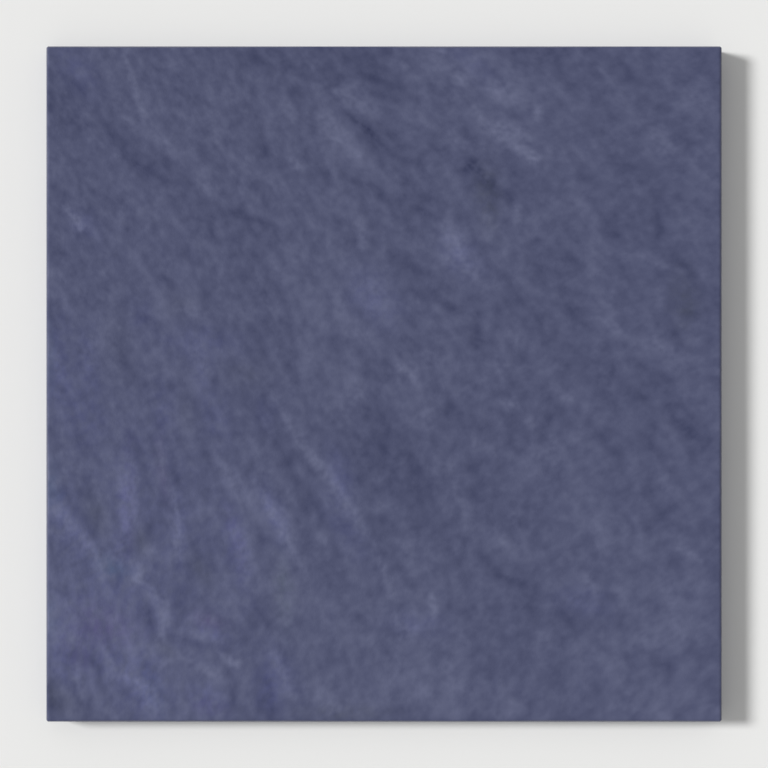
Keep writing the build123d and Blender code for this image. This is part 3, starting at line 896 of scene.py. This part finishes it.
def keyed_back(mesh, sizes, beds):
    """The back: a plain border, then a lattice of cells, each with its pocket."""
    spans, pitch = sizes.keys_per_side, sizes.key_pitch
    reach = pitch * spans / 2
    lattice = [[mesh.verts.new((pitch * i - reach, pitch * j - reach, 0.0)) for i in range(spans + 1)]
               for j in range(spans + 1)]
    for side, bed in enumerate(beds):
        edge = border_points(lattice, side)
        for k in range(spans):
            new_face(mesh, (edge[k], edge[k + 1], bed[k + 1], bed[k]), BACK)
        new_face(mesh, (edge[-1], beds[(side + 1) % 4][0], bed[-1]), BACK)
    for j, (near, far) in enumerate(zip(lattice, lattice[1:])):
        for i in range(spans):
            middle = (pitch * (i + 0.5) - reach, pitch * (j + 0.5) - reach)
            key_pocket(mesh, sizes, middle, (far[i + 1], far[i], near[i], near[i + 1]))


def tile_mesh(sizes):
    """One closed shell: riven face, arrises, ground sides and keyed back."""
    mesh = bmesh.new()
    face, stations, masks = riven_grid(mesh, sizes)
    keyed_back(mesh, sizes, ground_sides(mesh, sizes, face, stations))
    bmesh.ops.recalc_face_normals(mesh, faces=mesh.faces)
    for polygon in mesh.faces:
        polygon.smooth = polygon.material_index != CLAY
    data = bpy.data.meshes.new("tile")
    mesh.to_mesh(data)
    mesh.free()

    # The face's points come first in the mesh, so its masks fill the start of each attribute
    for name, values in masks.items():
        spread = np.zeros(len(data.vertices), dtype=np.float32)
        spread[:values.size] = values.ravel()
        data.attributes.new(name, "FLOAT", "POINT").data.foreach_set("value", spread)
    return data


# Nodes

def feed(tree, socket, value):
    """Links a socket to another, or gives it a value of its own."""
    if isinstance(value, bpy.types.NodeSocket):
        tree.links.new(value, socket)
    else:
        socket.default_value = value


def add_node(tree, kind, inputs=None, **settings):
    node = tree.nodes.new(kind)
    for name, value in settings.items():
        setattr(node, name, value)
    for name, value in (inputs or {}).items():
        feed(tree, node.inputs[name], value)
    return node


def math_node(tree, operation, *values):
    return add_node(tree, "ShaderNodeMath", dict(enumerate(values)), operation=operation).outputs[0]


def vector_math(tree, operation, *values):
    return add_node(tree, "ShaderNodeVectorMath", dict(enumerate(values)), operation=operation).outputs


def noise(tree, place, scale, detail, roughness):
    """Noise from about -0.5 to 0.5."""
    node = add_node(tree, "ShaderNodeTexNoise", {
        "Vector": place, "Scale": scale, "Detail": detail, "Roughness": roughness})
    return math_node(tree, "SUBTRACT", node.outputs["Fac"], 0.5)


def add_layer(tree, tone, layer, weight):
    return math_node(tree, "MULTIPLY_ADD", layer, weight, tone)


def remap(tree, value, given, wanted):
    """Carries a value from the given range over to the wanted one."""
    return add_node(tree, "ShaderNodeMapRange", {
        "Value": value, "From Min": given[0], "From Max": given[1], "To Min": wanted[0], "To Max": wanted[1],
    }).outputs["Result"]


def tone_ramp(tree, tone, *colours):
    """The colour of a tone, from the first colour at 0 to the last at 1."""
    ramp = add_node(tree, "ShaderNodeValToRGB", {"Fac": tone})
    elements = ramp.color_ramp.elements
    elements[0].color, elements[1].color = colours[0], colours[-1]
    for k, between in enumerate(colours[1:-1], 1):
        elements.new(k / (len(colours) - 1)).color = between
    return ramp.outputs["Color"]


def shade(base, factor):
    return [factor * channel for channel in base[:3]] + [1.0]


def mask(tree, name):
    node = add_node(tree, "ShaderNodeAttribute", attribute_name=name, attribute_type="GEOMETRY")
    return node.outputs["Fac"]


def bump(tree, height, depth):
    node = add_node(tree, "ShaderNodeBump", {"Strength": 1.0, "Distance": depth, "Height": height})
    return node.outputs["Normal"]


# Node groups

def new_group(name, numbers_in, numbers_out):
    """A shader node group that turns a place and numbers, which have defaults, into other numbers."""
    group = bpy.data.node_groups.new(name, "ShaderNodeTree")
    group.interface.new_socket("Vector", in_out="INPUT", socket_type="NodeSocketVector")
    for label, default in numbers_in.items():
        socket = group.interface.new_socket(label, in_out="INPUT", socket_type="NodeSocketFloat")
        socket.default_value = default
    for label in numbers_out:
        group.interface.new_socket(label, in_out="OUTPUT", socket_type="NodeSocketFloat")
    return group, group.nodes.new("NodeGroupInput").outputs, group.nodes.new("NodeGroupOutput").inputs


def clay_grain_group():
    """Fine speckle of fired clay: a tone to add, and a height for the bump."""
    group, given, result = new_group("Clay Grain", {"Grain Size": 1.2 * MM}, ("Tone", "Height"))
    place = vector_math(group, "DIVIDE", given["Vector"], given["Grain Size"])["Vector"]
    fine = noise(group, place, scale=1.0, detail=2.0, roughness=0.55)
    broad = noise(group, place, scale=0.12, detail=3.0, roughness=0.6)
    feed(group, result["Tone"], math_node(group, "ADD", fine, broad))
    feed(group, result["Height"], fine)
    return group


def cleavage_noise_group():
    """Mottling drawn out along the cleavage, as cleavage_flow has it. Its scale is in bumps to the mm."""
    group, given, result = new_group(
        "Cleavage Noise", {"Scale": 0.1, "Stretch": 1.0, "Detail": 0.5, "Roughness": 0.5}, ("Value",))

    def distance(*diagonal):
        in_mm = [axis * math.sqrt(0.5) / MM for axis in diagonal]
        return vector_math(group, "DOT_PRODUCT", given["Vector"], in_mm)["Value"]

    rise, fall = distance(1, 1, 0), distance(-1, 1, 0)
    lean = math_node(group, "MULTIPLY_ADD", rise, FLOW_TURN, FLOW_LEAN)
    across = math_node(group, "MULTIPLY_ADD", lean, fall, rise)
    along = math_node(group, "MULTIPLY_ADD", rise, -FLOW_LEAN, fall)
    drawn_out = math_node(group, "DIVIDE", along, given["Stretch"])
    place = add_node(group, "ShaderNodeCombineXYZ", {"X": across, "Y": drawn_out}).outputs["Vector"]
    feed(group, result["Value"], noise(group, place, given["Scale"], given["Detail"], given["Roughness"]))
    return group


# Finishes

def new_finish(name):
    finish = bpy.data.materials.new(name)
    finish.use_nodes = True
    return finish, finish.node_tree


def set_surface(tree, base, roughness, **others):
    """Gives the finish's shader its colour, roughness and other inputs."""
    shader = tree.nodes["Principled BSDF"]
    values = {"Base Color": base, "Roughness": roughness, "Specular IOR Level": SPECULAR_LEVEL, **others}
    for name, value in values.items():
        feed(tree, shader.inputs[name], value)
    return shader.outputs["BSDF"]


def place_and_grain(tree, grain_group, size):
    """The place on the tile, and the outputs of the clay's grain there."""
    place = add_node(tree, "ShaderNodeTexCoord").outputs["Object"]
    grain = add_node(tree, "ShaderNodeGroup", {"Vector": place, "Grain Size": size}, node_tree=grain_group)
    return place, grain.outputs


def slate_print_and_painted_light(colours, cleavage_group, grain_group):
    """The printed glaze of the face, with painted highlight on its crests and painted shade in its clefts and
    hollows.
    """
    finish, tree = new_finish("slate_print_and_painted_light")
    place, grain = place_and_grain(tree, grain_group, size=0.9 * MM)

    def mottling(size, stretch, detail, roughness=0.5):
        inputs = {"Vector": place, "Scale": 1.0 / size, "Stretch": stretch, "Detail": detail,
                  "Roughness": roughness}
        return add_node(tree, "ShaderNodeGroup", inputs, node_tree=cleavage_group).outputs["Value"]

    tone = MIDDLE_TONE
    for size, stretch, detail, weight in PRINT_LAYERS:
        layer = mottling(size, stretch, detail)
        tone = add_layer(tree, tone, layer, weight)
    # Ripple and grain add painted highlight where the relief stands high and painted shade in its hollows;
    # the area mask adds broad tone.
    for name, weight in MASK_WEIGHTS:
        tone = add_layer(tree, tone, mask(tree, name), weight)
    # The marks add print, with painted highlight on the crests and painted shade in the clefts.
    for name, weight, break_up in MARK_WEIGHTS:
        kept = add_layer(tree, 1.0, layer, break_up)
        broken = math_node(tree, "MULTIPLY", mask(tree, name), kept)
        tone = add_layer(tree, tone, broken, weight)
    tone = add_layer(tree, tone, grain["Tone"], GRAIN_WEIGHT)

    # The tints lie over the tone's colour, stronger in some spots than in others
    base = tone_ramp(tree, tone, colours.deep, colours.slate, colours.pale)
    spots = mottling(size=7.0, stretch=1.0, detail=2.0, roughness=0.55)
    patchy = remap(tree, spots, (-0.18, 0.18), (0.35, 1.65))
    for name, added in (("blue", colours.blue_tint), ("pink", colours.pink_tint)):
        share = math_node(tree, "MULTIPLY", mask(tree, name), patchy)
        base = vector_math(tree, "MULTIPLY_ADD", share, added, base)["Vector"]

    # Crests are worn a little smoother than clefts
    roughness = remap(tree, tone, (0.3, 0.7), (0.72, 0.56))
    set_surface(tree, base, roughness, Normal=bump(tree, grain["Height"], depth=0.10 * MM))
    return finish


def ground_clay(colours, grain_group):
    """The sides and arrises, ground to size."""
    finish, tree = new_finish("ground_clay")
    place, grain = place_and_grain(tree, grain_group, size=0.8 * MM)
    drawn_out = vector_math(tree, "MULTIPLY", place, GRINDING_LINES)["Vector"]
    lines = noise(tree, drawn_out, scale=1.0, detail=3.0, roughness=0.6)
    tone = add_layer(tree, MIDDLE_TONE, grain["Tone"], weight=0.5)
    tone = add_layer(tree, tone, lines, weight=0.6)
    clay = tone_ramp(tree, tone, shade(colours.body, 0.72), shade(colours.body, 1.30))
    height = math_node(tree, "ADD", grain["Height"], lines)
    set_surface(tree, clay, roughness=0.72, Normal=bump(tree, height, depth=0.03 * MM))
    return finish


def pressed_back(colours, grain_group):
    """The keyed back, with a thin kiln wash left on the ribs."""
    finish, tree = new_finish("pressed_back")
    place, grain = place_and_grain(tree, grain_group, size=1.4 * MM)
    tone = add_layer(tree, MIDDLE_TONE, grain["Tone"], weight=0.9)
    clay = tone_ramp(tree, tone, shade(colours.body, 0.70), shade(colours.body, 1.25))
    height = add_node(tree, "ShaderNodeSeparateXYZ", {"Vector": place}).outputs["Z"]
    on_rib = remap(tree, height, (0.0, colours.wash_height), (1.0, 0.0))
    smear = noise(tree, place, scale=26.0, detail=7.0, roughness=0.72)
    wash = math_node(tree, "MULTIPLY", on_rib, remap(tree, smear, (-0.12, 0.16), (0.05, 0.62)))

    # Sockets 6 and 7 of a Mix node take its two colours, and socket 2 puts out the mixed one
    washed = add_node(tree, "ShaderNodeMix", {"Factor": wash, 6: clay, 7: colours.wash}, data_type="RGBA")
    set_surface(tree, washed.outputs[2], roughness=0.82, Normal=bump(tree, grain["Height"], depth=0.08 * MM))
    return finish


def pale_floor(base):
    """The floor, which a camera below it looks through."""
    finish, tree = new_finish("pale_floor")
    pale = set_surface(tree, base, roughness=0.9)
    clear = add_node(tree, "ShaderNodeBsdfTransparent").outputs["BSDF"]
    backfacing = add_node(tree, "ShaderNodeNewGeometry").outputs["Backfacing"]
    camera_ray = add_node(tree, "ShaderNodeLightPath").outputs["Is Camera Ray"]
    from_below = math_node(tree, "MULTIPLY", backfacing, camera_ray)
    mixed = add_node(tree, "ShaderNodeMixShader", {0: from_below, 1: pale, 2: clear})
    feed(tree, tree.nodes["Material Output"].inputs["Surface"], mixed.outputs["Shader"])
    return finish


def surround_light(stage):
    """Even light all round, a little stronger from below, where only the tile's back sees it."""
    world = bpy.data.worlds.new("surround")
    world.use_nodes = True
    tree = world.node_tree

    def choose(factor, off, on):
        return add_node(tree, "ShaderNodeMix", {"Factor": factor, "A": off, "B": on},
                        data_type="FLOAT").outputs["Result"]

    direction = add_node(tree, "ShaderNodeTexCoord").outputs["Generated"]
    height = add_node(tree, "ShaderNodeSeparateXYZ", {"Vector": direction}).outputs["Z"]
    lit = choose(math_node(tree, "LESS_THAN", height, 0.0), stage.surround, stage.surround_below)
    rays = add_node(tree, "ShaderNodeLightPath").outputs
    seen = rays["Is Camera Ray"]
    for ray in ("Is Glossy Ray", "Is Transmission Ray"):
        seen = math_node(tree, "MAXIMUM", seen, rays[ray])
    background = tree.nodes["Background"].inputs
    background["Color"].default_value = (1.0, 1.0, 1.0, 1.0)
    feed(tree, background["Strength"], choose(seen, lit, stage.backdrop))
    return world


# Stage

def place_object(scene, name, data):
    placed = bpy.data.objects.new(name, data)
    scene.collection.objects.link(placed)
    return placed


def floor_mesh(outer, inner):
    """A square floor with a square hole."""
    outline = ((-1, -1), (1, -1), (1, 1), (-1, 1))
    corners = [(reach * x, reach * y, 0.0) for reach in (outer, inner) for x, y in outline]
    strips = [(k, (k + 1) % 4, 4 + (k + 1) % 4, 4 + k) for k in range(4)]
    data = bpy.data.meshes.new("floor")
    data.from_pydata(corners, [], strips)
    return data


def add_sun(scene, name, energy, elevation):
    light = bpy.data.lights.new(name, "SUN")
    light.energy = energy
    light.angle = scene.stage_settings.sun_spread
    azimuth = scene.stage_settings.key_azimuth
    towards = Vector((
        math.cos(azimuth) * math.cos(elevation),
        math.sin(azimuth) * math.cos(elevation),
        math.sin(elevation),
    ))
    place_object(scene, name, light).rotation_euler = towards.to_track_quat("Z", "Y").to_euler()


def set_camera(scene, stage, sizes):
    """The camera looks straight down on the tile."""
    data = bpy.data.cameras.new("camera")
    data.lens = stage.lens
    distance = sizes.side / stage.fill_of_frame * stage.lens / data.sensor_width
    scene.camera = place_object(scene, "camera", data)
    scene.camera.location = (0.0, 0.0, sizes.thickness + distance)


# Steps

class TILE_OT_fired_tile(bpy.types.Operator):
    """Build the tile as one closed shell with its three finishes"""

    bl_idname = "paving_tile.fired_tile"
    bl_label = "Fired Tile"

    def execute(self, context):
        colours = context.scene.glaze_settings
        data = tile_mesh(context.scene.tile_settings)
        grain_group = clay_grain_group()
        for finish in (
            slate_print_and_painted_light(colours, cleavage_noise_group(), grain_group),
            ground_clay(colours, grain_group),
            pressed_back(colours, grain_group),
        ):
            data.materials.append(finish)
        tile = place_object(context.scene, "fired_tile", data)
        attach(tile, BODY)
        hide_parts(TILE_NODE)
        return {"FINISHED"}


class TILE_OT_stage(bpy.types.Operator):
    """Lay the floor, and set the light and the camera straight above the tile"""

    bl_idname = "paving_tile.stage"
    bl_label = "Stage"

    def execute(self, context):
        scene = context.scene
        stage, sizes = scene.stage_settings, scene.tile_settings

        # The floor has a hole under the tile, so that its back shows from below
        inner = sizes.side / 2 - sizes.bed_arris - stage.floor_overlap
        floor = place_object(scene, "floor", floor_mesh(stage.floor_reach / 2, inner))
        floor.data.materials.append(pale_floor(stage.floor_colour))

        add_sun(scene, "key_light", stage.key_strength, stage.key_elevation)
        add_sun(scene, "back_light", stage.back_strength, -stage.key_elevation)
        scene.world = surround_light(stage)
        set_camera(scene, stage, sizes)
        scene.view_settings.view_transform = "Standard"
        return {"FINISHED"}


class TILE_PT_panel(bpy.types.Panel):
    """Lists the steps of the tile"""

    bl_label = "Paving Tile"
    bl_idname = "TILE_PT_panel"
    bl_space_type = "VIEW_3D"
    bl_region_type = "UI"
    bl_category = "Paving Tile"

    def draw(self, context):
        for step in (TILE_OT_fired_tile, TILE_OT_stage):
            self.layout.operator(step.bl_idname)


SETTINGS = {"tile_settings": TileSettings, "glaze_settings": GlazeSettings, "stage_settings": StageSettings}
CLASSES = (*SETTINGS.values(), TILE_OT_fired_tile, TILE_OT_stage, TILE_PT_panel)


def register():
    for each in CLASSES:
        bpy.utils.register_class(each)
    for name, group in SETTINGS.items():
        setattr(bpy.types.Scene, name, PointerProperty(type=group))


def unregister():
    for name in SETTINGS:
        delattr(bpy.types.Scene, name)
    for each in reversed(CLASSES):
        bpy.utils.unregister_class(each)


def main():
    register()
    bpy.ops.paving_tile.fired_tile()
    bpy.ops.paving_tile.stage()


if __name__ == "__main__":
    main()
